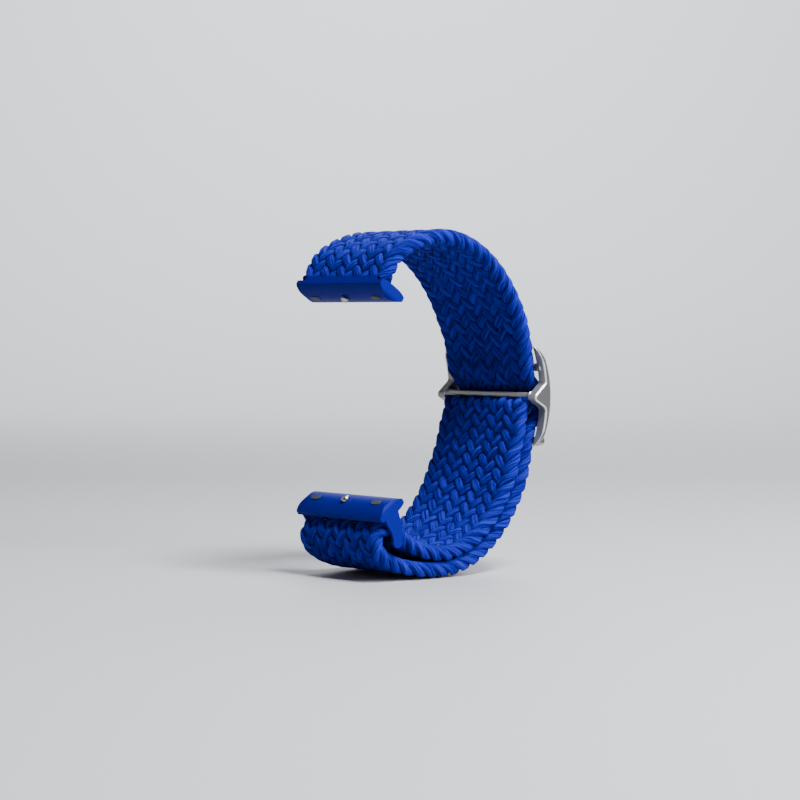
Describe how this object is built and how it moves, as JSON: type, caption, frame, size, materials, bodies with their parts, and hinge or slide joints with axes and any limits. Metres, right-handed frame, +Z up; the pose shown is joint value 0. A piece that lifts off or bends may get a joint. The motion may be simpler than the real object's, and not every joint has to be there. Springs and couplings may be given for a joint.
{
  "type": "watch strap",
  "caption": "Braided elastic watch strap closed into a loop, with a double-flanged metal slider buckle and lens-section rail lugs with sprung latches.",
  "frame": {"origin": "on the surface the closed loop stands on, under the middle of its bounding box", "axes": "+X across the band, -Y towards the open front where the watch sits, +Y towards the slider buckle, +Z up along the loop's longest extent"},
  "size_m": [0.0282, 0.0446, 0.0654],
  "materials": {
    "braid": "matte woven yarn",
    "slider_steel": "satin with polished edges",
    "pin_steel": "satin",
    "latch_steel": "polished",
    "lug_metal": "satin anodised",
    "pad": "matte"
  },
  "bodies": {
    "band": {"band_top_run": "braid", "band_top_slack": "braid", "band_outer_slack": "braid", "band_outer_run": "braid", "band_lug_fold": "braid", "band_inner_run": "braid", "band_inner_slack": "braid", "upper_lug": "lug_metal", "upper_retaining_pins": "pin_steel", "upper_lug_pads": "pad", "upper_latch_spring": "latch_steel", "upper_latch_cap": "lug_metal"},
    "slider": {"band_slider_bend": "braid", "band_end_fold": "braid", "slider_frame": "slider_steel", "anchor_pin": "pin_steel"},
    "lower_lug": {"lower_lug": "lug_metal", "lug_bar": "pin_steel", "lower_lug_pads": "pad", "lower_latch_spring": "latch_steel", "lower_latch_cap": "lug_metal"},
    "upper_latch": {"upper_latch_stud": "latch_steel"},
    "lower_latch": {"lower_latch_stud": "latch_steel"}
  },
  "joints": [
    {"name": "slider_travel", "type": "hinge", "parent": "band", "child": "slider", "pos_m": [0, -0.02344, 0.0327], "axis": [1, 0, 0], "range_deg": [-8, 8], "deforming": ["band_top_slack", "band_outer_slack", "band_inner_slack"]},
    {"name": "lower_lug_swing", "type": "hinge", "parent": "band", "child": "lower_lug", "pos_m": [0, -0.01732, 0.00737], "axis": [1, 0, 0], "range_deg": [-55, 12]},
    {"name": "upper_latch_press", "type": "slide", "parent": "band", "child": "upper_latch", "axis": [0, 0.5446, 0.8387], "range_m": [0, 0.0006], "stiffness_N_per_m": 300, "springref_m": -0.001, "deforming": ["upper_latch_spring"]},
    {"name": "lower_latch_press", "type": "slide", "parent": "lower_lug", "child": "lower_latch", "axis": [0, 0.5446, -0.8387], "range_m": [0, 0.0006], "stiffness_N_per_m": 300, "springref_m": -0.001, "deforming": ["lower_latch_spring"]}
  ]
}
